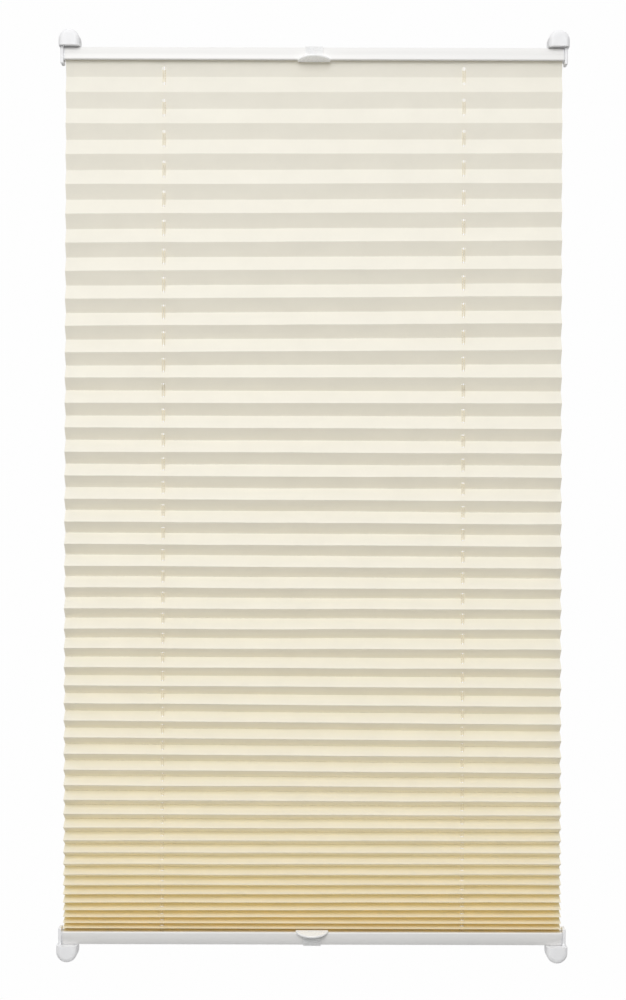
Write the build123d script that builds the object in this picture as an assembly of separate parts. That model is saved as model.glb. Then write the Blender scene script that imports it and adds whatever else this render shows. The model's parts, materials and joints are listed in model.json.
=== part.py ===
from build123d import *
import math
import os

# A pleated blind that clamps on a window sash, fully drawn. Millimetres.
# X runs along the rails, Y from the room (-) to the window (+), Z up.
# The origin is the middle of the sash's upper front edge: the clamps' backs lie
# in the plane Y = 0, and the upper hooks bear on the plane Z = 0.
# Pieces are drawn with Y = 0 in the middle of the pleats, and saved moved back.

# Overall sizes
blind_width = 600.0  # a rail with its end caps
blind_height = 1077.0  # top of the top rail to underside of the bottom rail

# Rails: closed chamber on the outside, open channel on the cloth's side
rail_height = 16.0
rail_depth = 20.0
rail_wall = 1.2
rail_corner = 1.4
face_start = 2.0  # upright part of the front and back, next to the cloth
crown_width = 8.6  # flat outside of the rail, which the front and back curve in to
channel_height = 2.4
slot_width = 12.0

# End caps
cap_plate = 1.4
plug_length = 16.0
plug_fit = 0.1

# Pleated cloth
cloth_side_gap = 1.7  # cloth in from each end of the rail
cloth_thickness = 0.3
panel_length = 20.0  # from fold to fold
mean_pitch = 22.7  # height of a pleat, on average, when the blind is drawn
pitch_fall = 0.72  # how much lower the pleats get on the way down, as a share
pitch_fall_power = 0.9
pitch_crowd = 0.14  # and how much more just above the bottom rail
pitch_crowd_power = 4
tab_width = 8.0  # cloth end glued on its strip
hole_width = 4.6
hole_length = 6.6

# Cloth strips
strip_lap = 0.9  # on each lip of the channel
strip_thickness = 1.2
strip_fit = 0.05

# Cords
cord_diameter = 0.9
cord_inset = 118.0  # pair of strands in from the cloth's edge
strand_spacing = 2.5
cord_exit_inset = 9.0  # where a cord leaves the rail, in from the rail's end
own_run_depth = 3.8  # cord from the rail's own shoe, below the rail's outside
cross_run_rise = 3.6  # cord from the other rail's shoe, above the chamber's floor
cord_bend = 2.6
cross_bend = 2.0
cord_bore = 2.0
knot_diameter = 2.2

# Cord bushes
bush_length = 12.0
bush_depth = 6.0
bush_flange = 1.5
flange_overhang = 1.2
bush_fit = 0.1
bush_bore_width = 2.2

# Tension springs
spring_wire = 0.6
spring_diameter = 5.0
spring_pitch = 1.8
spring_turns = 20
spring_side_gap = 2.8  # to the chamber's wall on the window's side

# Handles
handle_wall = 1.3
handle_fit = 0.1
clip_width = 21.0
clip_return = 3.2  # how far the clip reaches behind the rail's front
lip_width = 39.0
lip_reach = 13.0  # finger lip, forward of the rail
lip_thickness = 2.7
lip_slope = 17.0  # degrees, towards the rail's outside
lip_edge = 0.9
flare_height = 9.0

# Clamp bodies
rail_gap = 0.3  # between a rail and the clamp above or below it
clamp_width = 25.0
clamp_height = 19.9
clamp_overhang = 5.9  # past the rail's end
clamp_cover = 6.0  # in front of the rail
clamp_spacer = 1.0  # keeps the rail off the sash
rim_radius = 5.5

# Tension shoes
shoe_plate = 2.5
shoe_inset = 1.0  # in from the rail's front and back
shoe_reach = 15.0  # plate in from the rail's end
leg_gap = 0.3
leg_thickness = 3.8
leg_overrun = 4.5  # past the rail's cloth side
leg_edge = 1.2
shoe_fit = 0.2

# Cord locks
lock_diameter = 7.0
lock_height = 6.0
lock_fit = 0.2
pocket_height = 8.4

# Hook arms and grip pads
sash_thickness = 20.0
sash_overlap = 12.0  # sash edge behind the clamp's back
arm_width = 14.0
arm_thickness = 3.0
arm_fit = 0.1
arm_tail = 15.0  # length inside the clamp
slot_end_wall = 4.0
hook_height = 20.0
hook_thickness = 3.0
pad_thickness = 1.0
pad_border = 1.5
tooth_pitch = 1.5
tooth_depth = 0.6
tooth_count = 12

chamber_floor = rail_wall * 2 + channel_height
own_run_level = rail_height - own_run_depth
cross_run_level = chamber_floor + cross_run_rise
chamber_side = rail_depth / 2 - rail_wall
cross_run_shift = chamber_side - spring_side_gap - spring_diameter / 2
cloth_width = blind_width - 2 * cloth_side_gap
pleat_count = round((blind_height - 2 * rail_height) / mean_pitch)
clamp_front = rail_depth / 2 + clamp_cover
clamp_back = rail_depth / 2 + clamp_spacer
shoe_depth = rail_depth - 2 * shoe_inset
hole_x = cloth_width / 2 - cord_inset
exit_x = blind_width / 2 - cord_exit_inset
clamp_x = blind_width / 2 + clamp_overhang - clamp_width / 2
clamp_base = rail_height + rail_gap
plate_top = clamp_base + shoe_plate
arm_base = clamp_base + sash_overlap
top_edge = -arm_base - arm_fit
bottom_edge = top_edge - blind_height + 2 * rail_height
spring_half = spring_pitch * spring_turns / 2
coil_radius = (spring_diameter - spring_wire) / 2
hook_reach = spring_half + 2 * coil_radius + spring_wire / 2 + strip_fit
tab_level = rail_wall - cloth_thickness / 2
strip_depth = slot_width + 2 * strip_lap


def level(end, height):
    """World height of a point that lies so far outward from a rail's cloth side."""
    return top_edge + height if end == "top" else bottom_edge - height


def placed(shape, end, side="right"):
    """A piece drawn for the top right corner, moved to its own corner."""
    if side == "left":
        shape = mirror(shape, about=Plane.YZ)
    if end == "bottom":
        shape = mirror(shape, about=Plane.XY)
    return Pos(0, 0, level(end, 0)) * shape


def block(x, y, z):
    """Box from three (low, high) pairs."""
    size = [high - low for low, high in (x, y, z)]
    centre = [(high + low) / 2 for low, high in (x, y, z)]
    return Pos(*centre) * Box(*size)


def rail_outline():
    """Section of a rail, with the cloth's side at height 0 and the outside at the top."""
    half = rail_depth / 2
    crown = crown_width / 2
    right = [
        Line((half, 0), (half, face_start)),
        TangentArc((half, face_start), (crown, rail_height), tangent=(0, 1)),
    ]
    left = [mirror(edge, about=Plane.YZ) for edge in right]
    across = [Line((-half, 0), (half, 0)), Line((-crown, rail_height), (crown, rail_height))]
    face = make_face(right + left + across)
    corners = face.vertices().group_by(Axis.Y)
    return fillet(corners[0] + corners[-1], rail_corner)


def long_hole(length, width, depth):
    return extrude(SlotOverall(length, width), depth / 2, both=True)


def rail():
    outline = rail_outline()
    hollow = offset(outline, -rail_wall)
    web = Pos(0, rail_wall + channel_height + rail_wall / 2) * Rectangle(rail_depth, rail_wall)
    slot = Pos(0, rail_wall / 2) * Rectangle(slot_width, 2 * rail_wall)
    section = outline - hollow + (web & outline) - slot
    body = extrude(Plane.YZ * section, blind_width / 2 - cap_plate, both=True)
    for x in (-hole_x, hole_x):
        hole = long_hole(bush_length + 2 * bush_fit, bush_depth + 2 * bush_fit, 4 * rail_wall)
        body -= Pos(x, 0, chamber_floor) * hole
    for x in (-exit_x, exit_x):
        body -= Pos(x, 0, rail_height) * Cylinder(cord_bore / 2, 4 * rail_wall)
    return body


def end_cap():
    outline = rail_outline()
    outer = blind_width / 2
    plate = extrude(Plane.YZ.offset(outer - cap_plate) * outline, cap_plate)
    plug_section = offset(outline, -rail_wall - plug_fit)
    chamber = Pos(0, rail_height / 2 + chamber_floor + plug_fit) * Rectangle(rail_depth, rail_height)
    plug_section &= chamber
    start = outer - cap_plate - plug_length
    plug = extrude(Plane.YZ.offset(start) * plug_section, plug_length)
    inner_end = start - 1
    route = FilletPolyline(
        (inner_end, 0, own_run_level),
        (exit_x, 0, own_run_level),
        (exit_x, 0, rail_height),
        radius=cord_bend,
    )
    bore = sweep(Plane(origin=route @ 0, z_dir=route % 0) * Circle(cord_bore / 2), path=route)
    return plate + plug - bore


def cloth_strip():
    base = rail_wall + strip_fit
    strip = block(
        (-cloth_width / 2, cloth_width / 2),
        (-strip_depth / 2, strip_depth / 2),
        (base, base + strip_thickness),
    )
    for x in (-hole_x, hole_x):
        strip -= Pos(x, 0, base) * long_hole(hole_length, hole_width, 4 * strip_thickness)
    return strip


def cord_bush():
    base = rail_wall + strip_fit + strip_thickness + bush_fit
    shank_height = chamber_floor - base
    shank = Pos(hole_x, 0, base + shank_height / 2) * long_hole(bush_length, bush_depth, shank_height)
    wide = bush_length + 2 * flange_overhang
    deep = bush_depth + 2 * flange_overhang
    flange = Pos(hole_x, 0, chamber_floor + bush_flange / 2) * long_hole(wide, deep, bush_flange)
    bore_length = strand_spacing + bush_bore_width
    bore = Pos(hole_x, 0, chamber_floor) * long_hole(bore_length, bush_bore_width, rail_height)
    return shank + flange - bore


def tension_spring():
    coil_path = Rot(0, 90, 0) * Helix(spring_pitch, 2 * spring_half, coil_radius)
    coil_path = Pos(-spring_half, 0, 0) * coil_path
    start = Plane(origin=coil_path @ 0, z_dir=coil_path % 0)
    coil = sweep(start * Circle(spring_wire / 2), path=coil_path, is_frenet=True)
    for end in (0, 1):
        at = coil_path @ end
        out = -1 if end == 0 else 1
        up = 1 if at.Z > 0 else -1
        centre_x = at.X + out * coil_radius
        hook_path = Line((at.X, 0, at.Z), (centre_x, 0, at.Z)) + ThreePointArc(
            (centre_x, 0, at.Z),
            (centre_x + out * coil_radius, 0, 0),
            (centre_x, 0, -up * coil_radius),
        )
        hook_start = Plane(origin=(at.X, 0, at.Z), z_dir=(out, 0, 0))
        hook = sweep(hook_start * Circle(spring_wire / 2), path=hook_path)
        coil += hook + Pos(at.X, 0, at.Z) * Sphere(spring_wire * 0.55)
    return Pos(0, cross_run_shift, cross_run_level) * coil


def finger_lip(face_y):
    """Crescent plate that slopes forward from the clip's lower edge."""
    half = lip_width / 2
    root_y = -rail_depth / 2 + clip_return
    arc = ThreePointArc((-half, face_y), (0, face_y - lip_reach), (half, face_y))
    sides = [Line((half, face_y), (half, root_y)), Line((-half, root_y), (-half, face_y))]
    crescent = make_face([arc, sides[0], Line((half, root_y), (-half, root_y)), sides[1]])
    lip = Pos(0, -root_y, -lip_thickness) * extrude(crescent, lip_thickness)
    lip = fillet(lip.edges(), lip_edge)
    return Pos(0, root_y, -handle_fit) * Rot(-lip_slope, 0, 0) * lip


def clip_front():
    """Front view of the clip: a tab that flares to the lip's width."""
    low = -handle_fit - handle_wall - 1
    high = rail_height + handle_fit + handle_wall + 1
    narrow = clip_width / 2
    wide = lip_width / 2
    turn = low + 1 + flare_height
    right = [
        Line((wide, low), (wide, low + 1)),
        Spline((wide, low + 1), (narrow, turn), tangents=[(-1, 0), (0, 1)]),
        Line((narrow, turn), (narrow, high)),
    ]
    left = [mirror(edge, about=Plane.YZ) for edge in right]
    across = [Line((narrow, high), (-narrow, high)), Line((-wide, low), (wide, low))]
    return make_face(right + left + across)


def handle():
    outline = rail_outline()
    inner = offset(outline, handle_fit)
    outer = offset(outline, handle_fit + handle_wall)
    window = Pos(-rail_depth, -rail_height) * Rectangle(
        rail_depth / 2 + clip_return, 2 * rail_height, align=Align.MIN
    )
    window += Pos(-rail_depth, rail_height / 2) * Rectangle(
        rail_depth - crown_width / 2 + clip_return, rail_height, align=Align.MIN
    )
    clip = extrude(Plane.YZ * ((outer - inner) & window), lip_width / 2, both=True)
    clip &= extrude(Plane.XZ * clip_front(), rail_depth, both=True)
    lip = finger_lip(-(rail_depth / 2 + handle_fit))
    return clip + (lip - extrude(Plane.YZ * inner, lip_width, both=True))


def clamp_outline():
    half = clamp_width / 2
    straight = clamp_height - half
    sides = [
        Line((-half, straight), (-half, 0)),
        Line((-half, 0), (half, 0)),
        Line((half, 0), (half, straight)),
        ThreePointArc((half, straight), (0, clamp_height), (-half, straight)),
    ]
    return make_face(sides)


def clamp_body():
    front = Plane(origin=(clamp_x, clamp_back, clamp_base), x_dir=(1, 0, 0), z_dir=(0, -1, 0))
    body = extrude(front * clamp_outline(), clamp_back + clamp_front)
    rim = body.faces().sort_by(Axis.Y)[0].edges().sort_by(Axis.Z)[1:]
    body = fillet(rim, rim_radius)
    outer = blind_width / 2 + leg_gap + leg_thickness + shoe_fit
    deep = shoe_depth / 2 + shoe_fit
    recess = block(
        (blind_width / 2 - shoe_reach - shoe_fit, outer), (-deep, deep), (clamp_base - 1, plate_top)
    )
    pocket_radius = lock_diameter / 2 + lock_fit
    pocket = Pos(exit_x, 0, plate_top + pocket_height / 2) * Cylinder(pocket_radius, pocket_height)
    half = arm_width / 2 + arm_fit
    slot = block(
        (clamp_x - half, clamp_x + half),
        (-clamp_front + slot_end_wall, clamp_back + 1),
        (arm_base, arm_base + arm_thickness + 2 * arm_fit),
    )
    return body - recess - pocket - slot


def tension_shoe():
    end = blind_width / 2
    half = shoe_depth / 2
    outer = end + leg_gap + leg_thickness
    plate = block((end - shoe_reach, outer), (-half, half), (clamp_base, plate_top))
    leg = block((end + leg_gap, outer), (-half, half), (-leg_overrun, clamp_base))
    foot = leg.faces().sort_by(Axis.Z)[0].edges().filter_by(Axis.X)
    leg = fillet(foot, leg_thickness * 0.3)
    leg = fillet(leg.edges().filter_by(Axis.Z), leg_edge)
    hole = Pos(exit_x, 0, plate_top) * Cylinder(cord_bore / 2, 4 * shoe_plate)
    return plate + leg - hole


def cord_lock():
    barrel = Cylinder(lock_diameter / 2, lock_height) - Cylinder(cord_bore / 2, lock_height)
    return Pos(exit_x, 0, plate_top + lock_height / 2) * barrel


def hook_arm():
    low = arm_base + arm_fit
    half = arm_width / 2
    inner = clamp_back + sash_thickness + pad_thickness
    across = (clamp_x - half, clamp_x + half)
    bar = block(across, (clamp_back - arm_tail, inner + hook_thickness), (low, low + arm_thickness))
    hook = block(across, (inner, inner + hook_thickness), (low - hook_height, low))
    arm = bar + hook
    heel = arm.edges().filter_by(Axis.X).group_by(Axis.Z)[-1].sort_by(Axis.Y)[-1]
    arm = fillet(heel, hook_thickness * 0.8)
    for i in range(tooth_count):
        y = clamp_back - arm_tail + (i + 1) * tooth_pitch
        groove = Pos(clamp_x, y, low + arm_thickness) * Rot(45, 0, 0)
        arm -= groove * Box(arm_width * 0.6, tooth_depth, tooth_depth)
    return arm


def grip_pad():
    half = arm_width / 2 - pad_border
    inner = clamp_back + sash_thickness
    high = arm_base + arm_fit - pad_border
    low = arm_base + arm_fit - hook_height + pad_border
    return block((clamp_x - half, clamp_x + half), (inner, inner + pad_thickness), (low, high))


def fold_points():
    """Folds of the cloth from the top rail down, each (depth, height)."""
    top = level("top", tab_level)
    bottom = level("bottom", tab_level)
    shares = []
    for i in range(pleat_count):
        way = i / (pleat_count - 1)
        fall = pitch_fall * way**pitch_fall_power
        shares.append(1 - fall - pitch_crowd * way**pitch_crowd_power)
    scale = (top - bottom) / sum(shares)
    points = []
    z = top
    for share in shares:
        pitch = share * scale
        reach = math.sqrt(panel_length**2 - (pitch / 2) ** 2) / 2
        front = min(reach, tab_width / 2) if not points else reach
        points += [(-front, z), (reach, z - pitch / 2)]
        z -= pitch
    points.append((-tab_width / 2, bottom))
    return points


def pleated_cloth():
    folds = fold_points()
    tab_top = (tab_width / 2, folds[0][1])
    tab_bottom = (tab_width / 2, folds[-1][1])
    ribbon = trace(Polyline(tab_top, *folds, tab_bottom), cloth_thickness)
    cloth = extrude(Plane.YZ * ribbon, cloth_width / 2, both=True)
    punches = []
    panels = list(zip([tab_top] + folds, folds + [tab_bottom]))
    for (y0, z0), (y1, z1) in panels:
        slope = math.degrees(math.atan2(z1 - z0, y1 - y0))
        middle = (z0 - y0 * (z1 - z0) / (y1 - y0))
        for x in (-hole_x, hole_x):
            punch = Rot(slope, 0, 0) * Rot(0, 0, 90) * long_hole(hole_length, hole_width, 2)
            punches.append(Pos(x, 0, middle) * punch)
    return cloth - punches


def tension_cord(end):
    """The left cord whose shoe is at this end; its other end is tied to the far rail's spring."""
    other = "bottom" if end == "top" else "top"
    shift = strand_spacing / 2 if end == "top" else -strand_spacing / 2
    strand_x = -hole_x - shift
    leave_x = -exit_x
    knot_radius = knot_diameter / 2
    lock_top = plate_top + lock_height
    start = (leave_x, 0, level(end, lock_top + knot_radius))
    finish = (-hook_reach - knot_radius, cross_run_shift, level(other, cross_run_level))
    route = FilletPolyline(
        start,
        (leave_x, 0, level(end, own_run_level)),
        (strand_x, 0, level(end, own_run_level)),
        (strand_x, 0, level(other, cross_run_level)),
        (strand_x, cross_run_shift, level(other, cross_run_level)),
        finish,
        radius=[cord_bend, cord_bend, cross_bend, cross_bend],
    )
    cord = sweep(Plane(origin=route @ 0, z_dir=route % 0) * Circle(cord_diameter / 2), path=route)
    for place in (start, finish):
        cord += Pos(*place) * Sphere(knot_radius)
    return cord


def save(shape, name):
    export_step(Pos(0, -clamp_back, 0) * shape, f"parts/{name}.step")


os.makedirs("parts", exist_ok=True)
save(pleated_cloth(), "pleated_cloth")
for end in ("top", "bottom"):
    save(placed(rail(), end), f"{end}_rail")
    save(placed(handle(), end), f"{end}_handle")
    save(placed(cloth_strip(), end), f"{end}_cloth_strip")
    save(placed(tension_spring(), end), f"{end}_tension_spring")
    for side in ("left", "right"):
        corner = f"{end}_{side}"
        save(placed(end_cap(), end, side), f"{corner}_end_cap")
        save(placed(cord_bush(), end, side), f"{corner}_cord_bush")
        save(placed(clamp_body(), end, side), f"{corner}_clamp_body")
        save(placed(tension_shoe(), end, side), f"{corner}_tension_shoe")
        save(placed(cord_lock(), end, side), f"{corner}_cord_lock")
        save(placed(hook_arm(), end, side), f"{corner}_hook_arm")
        save(placed(grip_pad(), end, side), f"{corner}_grip_pad")
        cord = tension_cord(end)
        save(cord if side == "left" else mirror(cord, about=Plane.YZ), f"{corner}_tension_cord")
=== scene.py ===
import json
import math
import bpy
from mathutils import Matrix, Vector, noise


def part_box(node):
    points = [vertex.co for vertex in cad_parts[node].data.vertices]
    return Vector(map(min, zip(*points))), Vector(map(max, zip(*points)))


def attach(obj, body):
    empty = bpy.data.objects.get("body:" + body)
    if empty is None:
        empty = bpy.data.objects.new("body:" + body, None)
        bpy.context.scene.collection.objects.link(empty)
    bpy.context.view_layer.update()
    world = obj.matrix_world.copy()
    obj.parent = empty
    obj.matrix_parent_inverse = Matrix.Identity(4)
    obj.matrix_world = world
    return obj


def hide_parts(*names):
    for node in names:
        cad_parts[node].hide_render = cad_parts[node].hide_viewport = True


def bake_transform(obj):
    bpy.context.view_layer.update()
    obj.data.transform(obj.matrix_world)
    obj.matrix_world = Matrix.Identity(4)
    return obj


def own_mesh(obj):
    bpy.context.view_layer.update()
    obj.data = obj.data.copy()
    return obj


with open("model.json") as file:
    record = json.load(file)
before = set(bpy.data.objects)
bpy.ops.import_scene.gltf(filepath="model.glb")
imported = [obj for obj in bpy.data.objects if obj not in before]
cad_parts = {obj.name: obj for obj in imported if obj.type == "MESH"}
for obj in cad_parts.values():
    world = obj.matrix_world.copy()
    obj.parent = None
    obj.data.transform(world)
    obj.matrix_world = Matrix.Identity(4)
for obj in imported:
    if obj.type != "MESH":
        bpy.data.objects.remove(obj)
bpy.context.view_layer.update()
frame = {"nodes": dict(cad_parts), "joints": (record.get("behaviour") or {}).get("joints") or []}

# A pleated blind held between four clamps. X runs along the rails, Y from the
# room to the window, Z up. Metres, with plain millimetre numbers times mm.

scene = bpy.context.scene
nodes = frame["nodes"]
mm = 0.001


def hexToLinear(code):
    channels = [int(code[i:i + 2], 16) / 255 for i in (1, 3, 5)]
    linear = [c / 12.92 if c <= 0.04045 else ((c + 0.055) / 1.055) ** 2.4 for c in channels]
    return linear + [1.0]


def addNode(tree, kind, inputs=(), **settings):
    node = tree.nodes.new(kind)
    for key, value in settings.items():
        setattr(node, key, value)
    for socket, value in dict(inputs).items():
        if isinstance(value, bpy.types.NodeSocket):
            tree.links.new(value, node.inputs[socket])
        else:
            node.inputs[socket].default_value = value
    return node


def startMaterial(name):
    material = bpy.data.materials.new(name)
    material.use_nodes = True
    material.node_tree.nodes.clear()
    return material, material.node_tree


def addMesh(name, points, faces):
    mesh = bpy.data.meshes.new(name)
    mesh.from_pydata(points, [], faces)
    mesh.polygons.foreach_set("use_smooth", [True] * len(mesh.polygons))
    mesh.update()
    piece = bpy.data.objects.new(name, mesh)
    scene.collection.objects.link(piece)
    return piece


def steady(value, stops):
    # eased value between (place, height) stops
    for (a, low), (b, high) in zip(stops, stops[1:]):
        if value <= b:
            way = max(0.0, (value - a) / (b - a))
            return low + (high - low) * way * way * (3 - 2 * way)
    return stops[-1][1]


# Camera: straight on, halfway down the blind, a touch crooked
cameraView = {
    "distance": 2395 * mm,  # from the rails' front
    "drop": 4.7 * mm,  # below the blind's middle
    "focal": 72.0,
    "roll": 0.15,  # degrees, right side lower
}

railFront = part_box("top_rail")[0].y
middleY = (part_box("top_rail")[0].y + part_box("top_rail")[1].y) / 2
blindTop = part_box("top_rail")[1].z
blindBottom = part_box("bottom_rail")[0].z
cameraData = bpy.data.cameras.new("camera")
cameraData.lens = cameraView["focal"]
camera = bpy.data.objects.new("camera", cameraData)
camera.location = (
    0,
    railFront - cameraView["distance"],
    (blindTop + blindBottom) / 2 - cameraView["drop"],
)
camera.rotation_euler = (math.pi / 2, -math.radians(cameraView["roll"]), 0)
scene.collection.objects.link(camera)
scene.camera = camera
print("camera set")

# Light: a bright white room, and one big soft box in front and above
studio = {
    "around": 0.6,  # strength of the room's light
    "above": 0.42,  # more from overhead, less from below
    "behind": 0.32,  # more from the white wall behind, less from the front
    "boxPlace": (-0.35, -3.2, 0.95),
    "boxWidth": 2.2,
    "boxPower": 84.0,
    "floorDrop": 1.2,  # floor under the blind
    "floorWidth": 2.2,
    "bounces": 20,
    "softBounces": 14,  # between matt faces, deep in the folds
}

scene.view_settings.view_transform = "Standard"
scene.cycles.max_bounces = studio["bounces"]
scene.cycles.diffuse_bounces = studio["softBounces"]

world = bpy.data.worlds.new("white room")
scene.world = world
world.use_nodes = True
tree = world.node_tree
tree.nodes.clear()
direction = addNode(tree, "ShaderNodeTexCoord")
lean = addNode(tree, "ShaderNodeVectorMath", {
    0: direction.outputs["Generated"],
    1: (0, studio["behind"], studio["above"]),
}, operation="DOT_PRODUCT")
strength = addNode(tree, "ShaderNodeMath", {
    0: lean.outputs["Value"],
    1: studio["around"],
}, operation="ADD")
roomLight = addNode(tree, "ShaderNodeBackground", {"Strength": strength.outputs[0]})
whiteWall = addNode(tree, "ShaderNodeBackground", {"Color": hexToLinear("#FEFEFE")})
seen = addNode(tree, "ShaderNodeLightPath")
room = addNode(tree, "ShaderNodeMixShader", {
    0: seen.outputs["Is Camera Ray"],
    1: roomLight.outputs[0],
    2: whiteWall.outputs[0],
})
addNode(tree, "ShaderNodeOutputWorld", {"Surface": room.outputs[0]})

boxData = bpy.data.lights.new("soft box", "AREA")
boxData.shape = "DISK"
boxData.size = studio["boxWidth"]
boxData.energy = studio["boxPower"]
softBox = bpy.data.objects.new("softBox", boxData)
softBox.location = studio["boxPlace"]
aim = Vector((0, 0, (blindTop + blindBottom) / 2)) - softBox.location
softBox.rotation_euler = aim.to_track_quat("-Z", "Y").to_euler()
scene.collection.objects.link(softBox)

# Matt painted floor: pale, with faint roller marks
floorFinish = {
    "light": "#F6F6F5",
    "dark": "#F0F0EF",
    "marks": 3.0,  # per metre
    "roughness": 0.8,
}

paint, tree = startMaterial("matt floor paint, rolled")
place = addNode(tree, "ShaderNodeTexCoord")
marks = addNode(tree, "ShaderNodeTexNoise", {
    "Vector": place.outputs["Object"],
    "Scale": floorFinish["marks"],
})
shade = addNode(tree, "ShaderNodeMix", {
    0: marks.outputs["Fac"],
    6: hexToLinear(floorFinish["dark"]),
    7: hexToLinear(floorFinish["light"]),
}, data_type="RGBA")
skin = addNode(tree, "ShaderNodeBsdfPrincipled", {
    "Base Color": shade.outputs[2],
    "Roughness": floorFinish["roughness"],
})
addNode(tree, "ShaderNodeOutputMaterial", {"Surface": skin.outputs[0]})
floorZ = blindBottom - studio["floorDrop"]
edge = studio["floorWidth"] / 2
corners = [(-edge, -edge, floorZ), (edge, -edge, floorZ), (edge, edge, floorZ), (-edge, edge, floorZ)]
floor = addMesh("floor", corners, [(0, 1, 2, 3)])
floor.data.materials.append(paint)
print("light and floor set")

# Polyester cloth, woven, dyed cream, stiffened and pleated by heat: an even dull
# surface with fine crossing threads, with a golden painted shade where folds crowd together
clothFinish = {
    "cream": "#FDFBF2",
    # painted shade of crowded folds: the cream darkened and warmed as if by light bouncing between
    # packed pleats
    "paintedFoldShade": "#FAF0C2",
    "paintedFoldShadePower": 3,  # higher keeps the painted shade nearer the bottom
    "paintedFoldShadeFront": 0.2,  # share of the painted shade on the front folds, full at the rear folds
    "through": "#FFF5E0",  # tint of the light that comes through
    "sheer": 0.27,  # share of the light that passes
    "thread": 1.1,  # mm; really about 0.25, drawn coarser so that it shows
    "threadTone": (0.985, 1.01),  # darkest and lightest, between and on the threads
    "mottle": 45.0,  # mm, uneven take-up of the dye
    "mottleTone": (0.975, 1.01),
    "threadHeight": 0.08,  # mm
    "relief": 0.35,
    "roughness": 0.9,
    "shine": 0.25,
    "sheen": 0.12,
    "sheenRoughness": 0.6,
}

polyester, tree = startMaterial("polyester, woven and pleated")
flat = addNode(tree, "ShaderNodeUVMap", uv_map="flatCloth")
# a wave texture's bands repeat every pi / 10 of its coordinates
bands = math.pi / 10 / (clothFinish["thread"] * mm)
warp = addNode(tree, "ShaderNodeTexWave", {
    "Vector": flat.outputs[0],
    "Scale": bands,
    "Distortion": 0.6,
    "Detail": 1.0,
}, bands_direction="X")
weft = addNode(tree, "ShaderNodeTexWave", {
    "Vector": flat.outputs[0],
    "Scale": bands,
    "Distortion": 0.6,
    "Detail": 1.0,
}, bands_direction="Y")
weave = addNode(tree, "ShaderNodeMath", {
    0: warp.outputs["Fac"],
    1: weft.outputs["Fac"],
}, operation="MULTIPLY")
mottle = addNode(tree, "ShaderNodeTexNoise", {
    "Vector": flat.outputs[0],
    "Scale": 1 / (clothFinish["mottle"] * mm),
    "Detail": 4.0,
    "Roughness": 0.6,
})
# painted fold shade: the cream turns towards the shade colour by this mask
foldShadeMask = addNode(tree, "ShaderNodeAttribute", attribute_name="foldShadeMask")
creamWithFoldShade = addNode(tree, "ShaderNodeMix", {
    0: foldShadeMask.outputs["Fac"],
    6: hexToLinear(clothFinish["cream"]),
    7: hexToLinear(clothFinish["paintedFoldShade"]),
}, data_type="RGBA")
patchy = addNode(tree, "ShaderNodeMapRange", {
    "Value": mottle.outputs["Fac"],
    "From Min": 0.3,
    "From Max": 0.7,
    "To Min": clothFinish["mottleTone"][0],
    "To Max": clothFinish["mottleTone"][1],
})
crossing = addNode(tree, "ShaderNodeMapRange", {
    "Value": weave.outputs[0],
    "To Min": clothFinish["threadTone"][0],
    "To Max": clothFinish["threadTone"][1],
})
tone = addNode(tree, "ShaderNodeMath", {
    0: patchy.outputs[0],
    1: crossing.outputs[0],
}, operation="MULTIPLY")
shaded = addNode(tree, "ShaderNodeVectorMath", {
    0: creamWithFoldShade.outputs[2],
    "Scale": tone.outputs[0],
}, operation="SCALE")
relief = addNode(tree, "ShaderNodeBump", {
    "Height": weave.outputs[0],
    "Strength": clothFinish["relief"],
    "Distance": clothFinish["threadHeight"] * mm,
})
skin = addNode(tree, "ShaderNodeBsdfPrincipled", {
    "Base Color": shaded.outputs[0],
    "Roughness": clothFinish["roughness"],
    "Specular IOR Level": clothFinish["shine"],
    "Sheen Weight": clothFinish["sheen"],
    "Sheen Roughness": clothFinish["sheenRoughness"],
    "Normal": relief.outputs[0],
})
warmed = addNode(tree, "ShaderNodeMix", {
    0: 1.0,
    6: shaded.outputs[0],
    7: hexToLinear(clothFinish["through"]),
}, data_type="RGBA", blend_type="MULTIPLY")
glow = addNode(tree, "ShaderNodeBsdfTranslucent", {"Color": warmed.outputs[2]})
sheer = addNode(tree, "ShaderNodeMixShader", {
    0: clothFinish["sheer"],
    1: skin.outputs[0],
    2: glow.outputs[0],
})
addNode(tree, "ShaderNodeOutputMaterial", {"Surface": sheer.outputs[0]})

# Pleats, in mm: tall and almost flat under the top rail, crowded above the bottom rail
pleats = {
    "count": 46,
    "panel": 20.0,  # fold to fold
    "fall": 0.72,  # share of the first pleat's height lost steadily down the cloth
    "fallPower": 0.9,
    "crowd": 0.14,  # share lost near the bottom only
    "crowdPower": 4,
    "tab": 8.0,  # end of the cloth, glued inside each rail
    "tabLevel": 1.05,  # inside the rail's edge
    "crease": 0.6,  # half of a fold's rounding
    "column": 12.0,  # mesh width across the cloth
    "holeX": 180.3,
    "holeSide": 4.5,  # mesh left beside a hole
    "holeFrame": 5.0,  # mesh left over and under it
    "holeWidth": 4.6,
    "holeReach": 0.56,  # from a hole's middle to clear of a cord; steep panels get longer holes
    "holeSpare": 0.25,
    "openFolds": 5,  # fold points kept open at the foot, to clear the handle's hook
    # folds' slant: share of the drop, and how far the folds hang low a slantSpan right of slantFrom
    "slants": [
        (0, -0.7),
        (0.3, -2.2),
        (0.36, -2.6),
        (0.43, 0.4),
        (0.57, 1.0),
        (0.65, 0.0),
        (0.76, 1.7),
        (0.95, -0.8),
    ],
    "slantFrom": -75.0,
    "slantSpan": 290.0,
    # unevenness: mm, change along the rail, change from fold to fold, where in the noise
    "waver": [(0.45, 7, 0.37, 2.0), (0.225, 22, 0.8, 9.0)],  # folds up and down
    "sway": [(0.4, 5, 0.6, 5.0)],  # folds forward and back
    "bulge": [(0.35, 9, 1.7, 4.0)],  # panels bowed out or in
    # distance over which all of it fades towards the top rail, the foot and the split
    "fade": (40.0, 14.0, 50.0),
}

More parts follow.
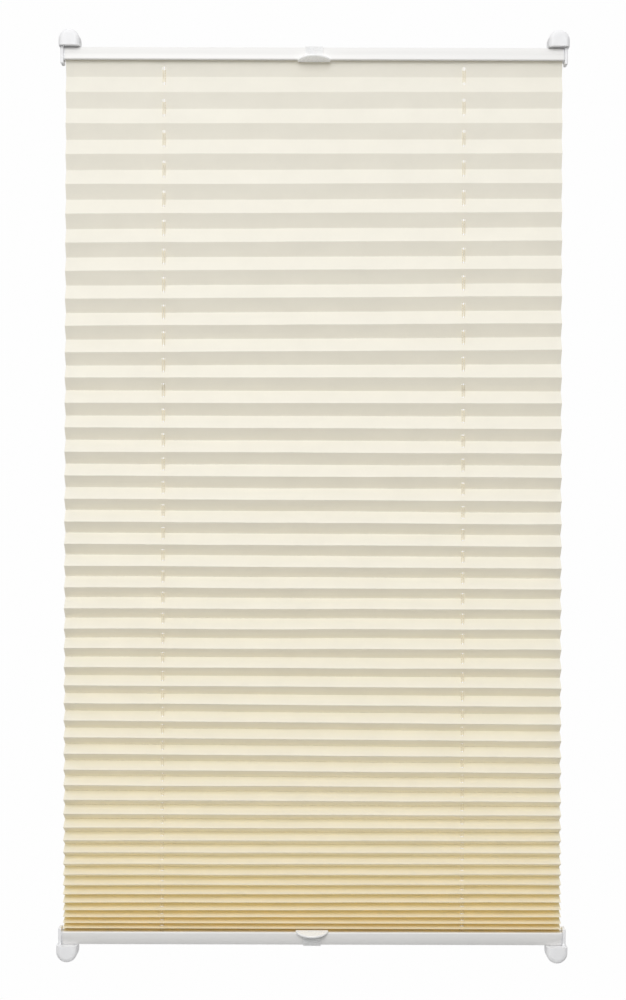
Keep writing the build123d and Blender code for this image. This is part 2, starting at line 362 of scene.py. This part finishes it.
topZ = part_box("top_rail")[0].z + pleats["tabLevel"] * mm
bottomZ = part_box("bottom_rail")[1].z - pleats["tabLevel"] * mm
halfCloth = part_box("pleated_cloth")[1].x


def foldLine():
    # (depth, height, pleat's crowding) of each fold, from the top tab to the bottom tab
    shares = []
    for i in range(pleats["count"]):
        way = i / (pleats["count"] - 1)
        lost = pleats["fall"] * way ** pleats["fallPower"]
        shares.append(1 - lost - pleats["crowd"] * way ** pleats["crowdPower"])
    scale = (topZ - bottomZ) / sum(shares)
    tab = pleats["tab"] / 2 * mm
    line = [(tab, topZ, 0.0)]
    z = topZ
    for share in shares:
        pitch = share * scale
        reach = math.sqrt((pleats["panel"] * mm) ** 2 - (pitch / 2) ** 2) / 2
        front = min(reach, tab) if len(line) == 1 else reach
        line += [(-front, z, 1 - share), (reach, z - pitch / 2, 1 - share)]
        z -= pitch
    return line + [(-tab, bottomZ, 1 - share), (tab, bottomZ, 1 - share)]


folds = foldLine()
travel = {joint["name"]: joint["range_m"][1] for joint in frame["joints"]}
fullTravel = travel["top_rail_slide"] + travel["bottom_rail_slide"]
meetZ = topZ - (topZ - bottomZ) * travel["top_rail_slide"] / fullTravel
splitFold = min(range(1, len(folds) - 1), key=lambda i: abs(folds[i][1] - meetZ))
splitZ = folds[splitFold][1]
footFold = len(folds) - pleats["openFolds"]
footZ = folds[footFold][1]


def uneven(kind, x, i):
    total = 0.0
    for size, along, down, at in pleats[kind]:
        total += size * noise.noise(Vector((x * along, i * down, at)))
    return total


def foldPoint(i, x):
    # a point of fold i, with the cloth's slant and unevenness
    y, z, _ = folds[i]
    drop = (topZ - z) / (topZ - bottomZ)
    slant = steady(drop, pleats["slants"]) * (x / mm - pleats["slantFrom"]) / pleats["slantSpan"]
    away = (topZ - z, z - footZ, abs(z - splitZ))
    loose = max(0.0, min(1.0, *[gap / (fade * mm) for gap, fade in zip(away, pleats["fade"])]))
    depth = uneven("sway", x, i) * loose
    lower = (slant + uneven("waver", x, i)) * loose
    return Vector((x, middleY + y + depth * mm, z - lower * mm))


def clothColumns():
    hole = pleats["holeX"] * mm
    side = pleats["holeSide"] * mm
    right = [hole - side, hole, hole + side, halfCloth]
    stops = [-x for x in right[::-1]] + right
    columns = [stops[0]]
    for a, b in zip(stops, stops[1:]):
        steps = max(1, round((b - a) / (pleats["column"] * mm)))
        columns += [a + (b - a) * k / steps for k in range(1, steps + 1)]
    return columns


def buildCloth(name, first, last, rides):
    columns = clothColumns()
    hole = pleats["holeX"] * mm
    holes = [min(range(len(columns)), key=lambda k: abs(columns[k] - x)) for x in (-hole, hole)]
    points, flats, foldShadeMasks, faces = [], [], [], []
    run = 0.0
    # a hole's outline: a rounded square, 1 each way from its middle
    outline = []
    for k in range(16):
        parts = [round(wave(math.pi * k / 8), 6) for wave in (math.cos, math.sin)]
        outline.append([math.copysign(math.sqrt(abs(part)), part) for part in parts])

    def addPoint(i, along, length, x):
        way = along / length
        start, end = foldPoint(i, x), foldPoint(i + 1, x)
        point = start.lerp(end, way)
        bow = uneven("bulge", x, i) * mm * math.sin(math.pi * way)
        tilt = (end - start).cross(Vector((1, 0, 0))).normalized()
        points.append(point + tilt * bow)
        flats.append((x, run + along))
        # painted shade mask: grows with the pleat's crowding and towards its rear fold, weaker on the
        # front fold
        rear = way if folds[i][0] < folds[i + 1][0] else 1 - way
        crowd = folds[i][2] * (1 - way) + folds[i + 1][2] * way
        front = clothFinish["paintedFoldShadeFront"]
        foldShadeMasks.append((crowd / folds[-1][2]) ** clothFinish["paintedFoldShadePower"] * (front + (1 - front) * rear))
        return len(points) - 1

    above = None
    for i in range(first, last):
        (y0, z0, _), (y1, z1, _) = folds[i], folds[i + 1]
        length = math.hypot(y1 - y0, z1 - z0)
        middle = length * y0 / (y0 - y1)
        crease = pleats["crease"] * mm
        clear = 1.1 * crease
        cell = min(pleats["holeFrame"] * mm, middle - clear, length - middle - clear)
        places = [0, crease, middle - cell, middle, middle + cell, length - crease, length]
        rows = [above or [addPoint(i, 0, length, x) for x in columns]]
        rows += [[addPoint(i, place, length, x) for x in columns] for place in places[1:]]
        above = rows[-1]
        isTab = i == 0 or i == len(folds) - 2
        for r in range(6):
            for c in range(len(columns) - 1):
                inCell = r in (2, 3) and any(c in (h - 1, h) for h in holes)
                if not inCell:
                    faces.append((rows[r][c], rows[r + 1][c], rows[r + 1][c + 1], rows[r][c + 1]))
        if not isTab:
            wide = pleats["holeWidth"] / 2 * mm
            long = (pleats["holeReach"] * length / abs(y0 - y1) + pleats["holeSpare"]) * mm
            for h in holes:
                # the mesh corners round the hole, in the outline's order
                around = [(3, 1), (4, 1), (4, 0), (4, -1), (3, -1), (2, -1), (2, 0), (2, 1)]
                outer = [rows[r][h + c] for r, c in around]
                ring = [
                    addPoint(i, middle + long * up, length, columns[h] + wide * across)
                    for across, up in outline
                ]
                for k in range(8):
                    part = [ring[2 * k], ring[2 * k + 1], ring[(2 * k + 2) % 16]]
                    faces.append((outer[k], *part, outer[(k + 1) % 8]))
        run += length
    cloth = addMesh(name, points, faces)
    layer = cloth.data.uv_layers.new(name="flatCloth")
    for loop in cloth.data.loops:
        layer.data[loop.index].uv = flats[loop.vertex_index]
    # the painted shade mask, stored on the points
    crowding = cloth.data.attributes.new("foldShadeMask", "FLOAT", "POINT")
    crowding.data.foreach_set("value", foldShadeMasks)
    cloth.data.materials.append(polyester)
    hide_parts("pleated_cloth")
    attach(cloth, rides)
    return cloth, run


# the cloth in three stretches: two split where the rails' travels meet, and a foot that goes with the
# bottom rail
upperCloth, upperRun = buildCloth("clothUpper", 0, splitFold, "frame")
lowerCloth, lowerRun = buildCloth("clothLower", splitFold, footFold, "frame")
footCloth, footRun = buildCloth("clothFoot", footFold, len(folds) - 1, "bottom_rail_set")
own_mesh(upperCloth)
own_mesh(lowerCloth)
print("cloth pleated:", len(folds), "folds, cut length", round(upperRun + lowerRun + footRun, 3), "m")

# Polyester cord, braided: two sets of slanting carriers cross over a round core
cordFinish = {
    "light": "#F4EBD4",
    "dark": "#DCCFB2",
    "carrier": 1.6,  # mm; really about 0.6, drawn coarser so that it shows
    "height": 0.12,  # mm
    "relief": 0.6,
    "roughness": 0.7,
    "sheen": 0.2,
}

braid, tree = startMaterial("polyester cord, braided")
place = addNode(tree, "ShaderNodeTexCoord")
turned = addNode(tree, "ShaderNodeMapping", {"Vector": place.outputs["Object"], "Scale": (-1, -1, 1)})
bands = math.pi / 10 / (cordFinish["carrier"] * mm)
rightLay = addNode(tree, "ShaderNodeTexWave", {
    "Vector": place.outputs["Object"],
    "Scale": bands,
}, bands_direction="DIAGONAL")
leftLay = addNode(tree, "ShaderNodeTexWave", {
    "Vector": turned.outputs[0],
    "Scale": bands,
}, bands_direction="DIAGONAL")
crossed = addNode(tree, "ShaderNodeMath", {
    0: rightLay.outputs["Fac"],
    1: leftLay.outputs["Fac"],
}, operation="MAXIMUM")
tint = addNode(tree, "ShaderNodeMix", {
    0: crossed.outputs[0],
    6: hexToLinear(cordFinish["dark"]),
    7: hexToLinear(cordFinish["light"]),
}, data_type="RGBA")
relief = addNode(tree, "ShaderNodeBump", {
    "Height": crossed.outputs[0],
    "Strength": cordFinish["relief"],
    "Distance": cordFinish["height"] * mm,
})
skin = addNode(tree, "ShaderNodeBsdfPrincipled", {
    "Base Color": tint.outputs[2],
    "Roughness": cordFinish["roughness"],
    "Sheen Weight": cordFinish["sheen"],
    "Normal": relief.outputs[0],
})
addNode(tree, "ShaderNodeOutputMaterial", {"Surface": skin.outputs[0]})

# Four cords, in mm: each leaves a clamp, crosses its own rail, goes down or up through
# the cloth's holes and is tied to the far rail's spring
cords = {
    "diameter": 0.9,
    "knot": 2.2,
    "exitX": 291.0,  # where it leaves the rail
    "strandX": {"top": 181.55, "bottom": 179.05},
    "springX": 23.85,
    "springY": 3.5,  # towards the window
    "knotLevel": 25.9,  # levels from the rail's cloth side, outward
    "clampLevel": 16.3,
    "railLevel": 16.0,
    "leadEnd": 13.2,
    "ownLevel": 12.2,  # where it crosses its own rail
    "crossLevel": 8.4,  # where it goes to the far rail's spring
    "clothLevel": -2.0,
    "overlap": 1.1,
    "turn": 3.0,  # rounding of its corners
    "farTurn": 2.0,
    "swing": 1.7,  # first part of the way to springY
    "settle": 9.0,  # straight again this far from the corner
    "approach": 5.0,  # and straight this far before the spring
}


def cordLevel(end, height):
    if end == "top":
        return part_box("top_rail")[0].z + height * mm
    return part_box("bottom_rail")[1].z - height * mm


def tubeRings(x, heights, radius, sides=10):
    # an upright strand as one mesh: rings of points at these heights
    points = []
    faces = []
    for r, (z, width) in enumerate(zip(heights, radius)):
        for k in range(sides):
            turn = 2 * math.pi * k / sides
            points.append((x + width * math.cos(turn), middleY + width * math.sin(turn), z))
        if r:
            low, high = (r - 1) * sides, r * sides
            for k in range(sides):
                after = (k + 1) % sides
                faces.append((low + k, low + after, high + after, high + k))
    faces.append(tuple(range(sides))[::-1])
    faces.append(tuple(range(len(points) - sides, len(points))))
    return points, faces


def joinMeshes(name, parts):
    points, faces = [], []
    for partPoints, partFaces in parts:
        faces += [tuple(v + len(points) for v in face) for face in partFaces]
        points += partPoints
    piece = addMesh(name, points, faces)
    piece.data.materials.append(braid)
    return piece


def routeMesh(points):
    # a bent stretch, as a smooth curve through the rail
    curve = bpy.data.curves.new("route", "CURVE")
    curve.dimensions = "3D"
    curve.bevel_depth = cords["diameter"] / 2 * mm
    curve.bevel_resolution = 2
    curve.resolution_u = 6
    curve.use_fill_caps = True
    spline = curve.splines.new("NURBS")
    spline.points.add(len(points) - 1)
    for target, point in zip(spline.points, points):
        target.co = (*point, 1)
    spline.order_u = 3
    spline.use_endpoint_u = True
    holder = bpy.data.objects.new("route", curve)
    mesh = bpy.data.meshes.new_from_object(holder)
    result = [tuple(v.co) for v in mesh.vertices], [tuple(f.vertices) for f in mesh.polygons]
    bpy.data.objects.remove(holder)
    bpy.data.curves.remove(curve)
    bpy.data.meshes.remove(mesh)
    return result


radius = cords["diameter"] / 2 * mm
knot = cords["knot"] / 2 * mm
allCords = [f"{end}_{side}_tension_cord" for end in ("top", "bottom") for side in ("left", "right")]
for end in ("top", "bottom"):
    far = "bottom" if end == "top" else "top"
    outward = 1 if end == "top" else -1
    leads, runs = [], []
    for side in (-1, 1):
        exitX = side * cords["exitX"] * mm
        tied = cordLevel(end, cords["knotLevel"])
        slopes = [math.radians(a) for a in (88, 60, 30, 0, -30, -58)]
        heights = [tied + outward * knot * math.sin(a) for a in slopes]
        widths = [knot * math.cos(a) for a in slopes]
        for level in ("clampLevel", "railLevel", "leadEnd"):
            heights.append(cordLevel(end, cords[level]))
            widths.append(radius)
        leads.append(tubeRings(exitX, heights, widths))
        ownX = side * cords["strandX"][end] * mm
        own = cordLevel(end, cords["ownLevel"])
        turn = cords["turn"] * mm
        runs.append(routeMesh([
            (exitX, middleY, own + outward * cords["overlap"] * mm),
            (exitX, middleY, own),
            (exitX - side * turn, middleY, own),
            (ownX + side * turn, middleY, own),
            (ownX, middleY, own),
            (ownX, middleY, own - outward * turn),
            (ownX, middleY, cordLevel(end, cords["clothLevel"])),
        ]))
        farX = side * cords["strandX"][far] * mm
        cross = cordLevel(end, cords["crossLevel"])
        springY = middleY + cords["springY"] * mm
        springX = side * cords["springX"] * mm
        farTurn = cords["farTurn"] * mm
        runs.append(routeMesh([
            (farX, middleY, cordLevel(end, cords["clothLevel"])),
            (farX, middleY, cross - outward * farTurn),
            (farX, middleY, cross),
            (farX, middleY + cords["swing"] * mm, cross),
            (farX - side * farTurn, springY, cross),
            (farX - side * cords["settle"] * mm, springY, cross),
            (springX + side * cords["approach"] * mm, springY, cross),
            (springX, springY, cross),
        ]))
        slopes = [math.radians(a) for a in range(-88, 89, 22)]
        heights = [cross + knot * math.sin(a) for a in slopes]
        widths = [knot * math.cos(a) for a in slopes]
        points, faces = tubeRings(springX, heights, widths)
        runs.append(([(x, y + cords["springY"] * mm, z) for x, y, z in points], faces))
    lead = joinMeshes(f"{end}CordLeads", leads)
    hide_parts(*allCords)
    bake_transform(lead)
    inRail = joinMeshes(f"{end}CordRuns", runs)
    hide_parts(*allCords)
    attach(inRail, f"{end}_rail_set")

for end in ("top", "bottom"):
    start = cordLevel(end, cords["clothLevel"])
    heights = [start + (splitZ - start) * k / 12 for k in range(13)]
    strands = []
    for x in cords["strandX"].values():
        strands += [tubeRings(side * x * mm, heights, [radius] * 13) for side in (-1, 1)]
    piece = joinMeshes(f"{end}Strands", strands)
    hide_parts(*allCords)
    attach(piece, "frame")
    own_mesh(piece)
print("cords strung")

# Aluminium rail, extruded and powder coated white: satin, with faint lines left by
# the die along the rail and a fine uneven skin
railFinish = {
    "white": "#EDECEA",
    "shade": "#E8E7E5",
    "dieLine": 2.2,  # mm across the rail
    "lineRelief": 0.15,
    "lineHeight": 0.05,  # mm
    "grain": 0.9,  # mm, drawn coarser than the coat's real 0.3
    "grainRelief": 0.25,
    "grainHeight": 0.03,
    "roughness": 0.38,
    "glossSpread": 0.06,
}

coated, tree = startMaterial("aluminium, extruded and powder coated")
place = addNode(tree, "ShaderNodeTexCoord")
along = addNode(tree, "ShaderNodeMapping", {
    "Vector": place.outputs["Object"],
    "Scale": (0.02, 1, 1),
})
dieLines = addNode(tree, "ShaderNodeTexNoise", {
    "Vector": along.outputs[0],
    "Scale": 1 / (railFinish["dieLine"] * mm),
    "Detail": 2.0,
})
grain = addNode(tree, "ShaderNodeTexNoise", {
    "Vector": place.outputs["Object"],
    "Scale": 1 / (railFinish["grain"] * mm),
    "Detail": 2.0,
})
tint = addNode(tree, "ShaderNodeMix", {
    0: dieLines.outputs["Fac"],
    6: hexToLinear(railFinish["shade"]),
    7: hexToLinear(railFinish["white"]),
}, data_type="RGBA")
lines = addNode(tree, "ShaderNodeBump", {
    "Height": dieLines.outputs["Fac"],
    "Strength": railFinish["lineRelief"],
    "Distance": railFinish["lineHeight"] * mm,
})
relief = addNode(tree, "ShaderNodeBump", {
    "Height": grain.outputs["Fac"],
    "Strength": railFinish["grainRelief"],
    "Distance": railFinish["grainHeight"] * mm,
    "Normal": lines.outputs[0],
})
gloss = addNode(tree, "ShaderNodeMapRange", {
    "Value": grain.outputs["Fac"],
    "To Min": railFinish["roughness"] - railFinish["glossSpread"],
    "To Max": railFinish["roughness"] + railFinish["glossSpread"],
})
skin = addNode(tree, "ShaderNodeBsdfPrincipled", {
    "Base Color": tint.outputs[2],
    "Roughness": gloss.outputs[0],
    "IOR": 1.5,
    "Normal": relief.outputs[0],
})
addNode(tree, "ShaderNodeOutputMaterial", {"Surface": skin.outputs[0]})


def mouldedPlastic(name, finish):
    # plastic from a mould: even colour, spark-eroded grain and slow swirls of flow; milky is
    # the share of light that travels inside, and depth how many mm it goes
    material, tree = startMaterial(name)
    place = addNode(tree, "ShaderNodeTexCoord")
    grain = addNode(tree, "ShaderNodeTexNoise", {
        "Vector": place.outputs["Object"],
        "Scale": 1 / (finish["grain"] * mm),
        "Detail": 3.0,
    })
    flow = addNode(tree, "ShaderNodeTexNoise", {
        "Vector": place.outputs["Object"],
        "Scale": 1 / (finish["flow"] * mm),
        "Distortion": 1.5,
    })
    tint = addNode(tree, "ShaderNodeMix", {
        0: flow.outputs["Fac"],
        6: hexToLinear(finish["shade"]),
        7: hexToLinear(finish["white"]),
    }, data_type="RGBA")
    gloss = addNode(tree, "ShaderNodeMapRange", {
        "Value": grain.outputs["Fac"],
        "To Min": finish["roughness"] - 0.07,
        "To Max": finish["roughness"] + 0.07,
    })
    relief = addNode(tree, "ShaderNodeBump", {
        "Height": grain.outputs["Fac"],
        "Strength": finish["relief"],
        "Distance": 0.06 * mm,
    })
    skin = addNode(tree, "ShaderNodeBsdfPrincipled", {
        "Base Color": tint.outputs[2],
        "Roughness": gloss.outputs[0],
        "IOR": finish["ior"],
        "Subsurface Weight": finish["milky"],
        "Subsurface Radius": (1, 1, 1),
        "Subsurface Scale": finish["depth"] * mm,
        "Normal": relief.outputs[0],
    })
    addNode(tree, "ShaderNodeOutputMaterial", {"Surface": skin.outputs[0]})
    return material


# Brackets and end caps: ABS, moulded with a fine matt grain
absPlastic = mouldedPlastic("ABS, moulded matt", {
    "white": "#F3F3F4",
    "shade": "#EDEDEE",
    "grain": 0.7,  # mm, the spark grain drawn about twice its size
    "flow": 14.0,
    "roughness": 0.55,
    "relief": 0.35,
    "ior": 1.54,
    "milky": 0.5,
    "depth": 2.5,
})

# Handles: polycarbonate, moulded in a polished tool, milky so that thin lips let light through
polycarbonate = mouldedPlastic("polycarbonate, moulded gloss", {
    "white": "#F9F9F8",
    "shade": "#F5F5F4",
    "grain": 1.5,
    "flow": 18.0,
    "roughness": 0.28,
    "relief": 0.1,
    "ior": 1.58,
    "milky": 0.8,
    "depth": 4.0,
})

# Strips and bushes: acetal left natural, slick and slightly waxy
acetal = mouldedPlastic("acetal, moulded natural", {
    "white": "#E4E6E4",
    "shade": "#D6D9D7",
    "grain": 1.0,
    "flow": 9.0,
    "roughness": 0.35,
    "relief": 0.15,
    "ior": 1.48,
    "milky": 0.4,
    "depth": 2.0,
})

# Pads: soft grey rubber with a dull pebbled face
rubber = mouldedPlastic("thermoplastic rubber, moulded", {
    "white": "#BDBDBB",
    "shade": "#AFAFAD",
    "grain": 1.2,
    "flow": 8.0,
    "roughness": 0.75,
    "relief": 0.6,
    "ior": 1.5,
    "milky": 0.0,
    "depth": 1.0,
})

# Spring steel, drawn: bright grey wire with fine lines along it
steelFinish = {
    "bright": "#C4C6C8",
    "dull": "#A2A4A6",
    "line": 0.5,  # mm, coarser than the real drawing marks
    "roughness": 0.32,
}

steel, tree = startMaterial("spring steel, drawn wire")
place = addNode(tree, "ShaderNodeTexCoord")
drawn = addNode(tree, "ShaderNodeTexNoise", {
    "Vector": place.outputs["Object"],
    "Scale": 1 / (steelFinish["line"] * mm),
    "Detail": 2.0,
})
tint = addNode(tree, "ShaderNodeMix", {
    0: drawn.outputs["Fac"],
    6: hexToLinear(steelFinish["dull"]),
    7: hexToLinear(steelFinish["bright"]),
}, data_type="RGBA")
gloss = addNode(tree, "ShaderNodeMapRange", {
    "Value": drawn.outputs["Fac"],
    "To Min": steelFinish["roughness"] - 0.08,
    "To Max": steelFinish["roughness"] + 0.12,
})
skin = addNode(tree, "ShaderNodeBsdfPrincipled", {
    "Base Color": tint.outputs[2],
    "Metallic": 1.0,
    "Roughness": gloss.outputs[0],
})
addNode(tree, "ShaderNodeOutputMaterial", {"Surface": skin.outputs[0]})

# by the end of each part's name
finishes = {
    "rail": coated,
    "end_cap": absPlastic,
    "clamp_body": absPlastic,
    "tension_shoe": absPlastic,
    "cord_lock": absPlastic,
    "hook_arm": absPlastic,
    "handle": polycarbonate,
    "cloth_strip": acetal,
    "cord_bush": acetal,
    "grip_pad": rubber,
    "tension_spring": steel,
    "tension_cord": braid,
    "pleated_cloth": polyester,
}
for name, piece in nodes.items():
    finish = next(finishes[key] for key in finishes if name.endswith(key))
    piece.data.materials.clear()
    piece.data.materials.append(finish)
print("finishes on", len(nodes), "parts")
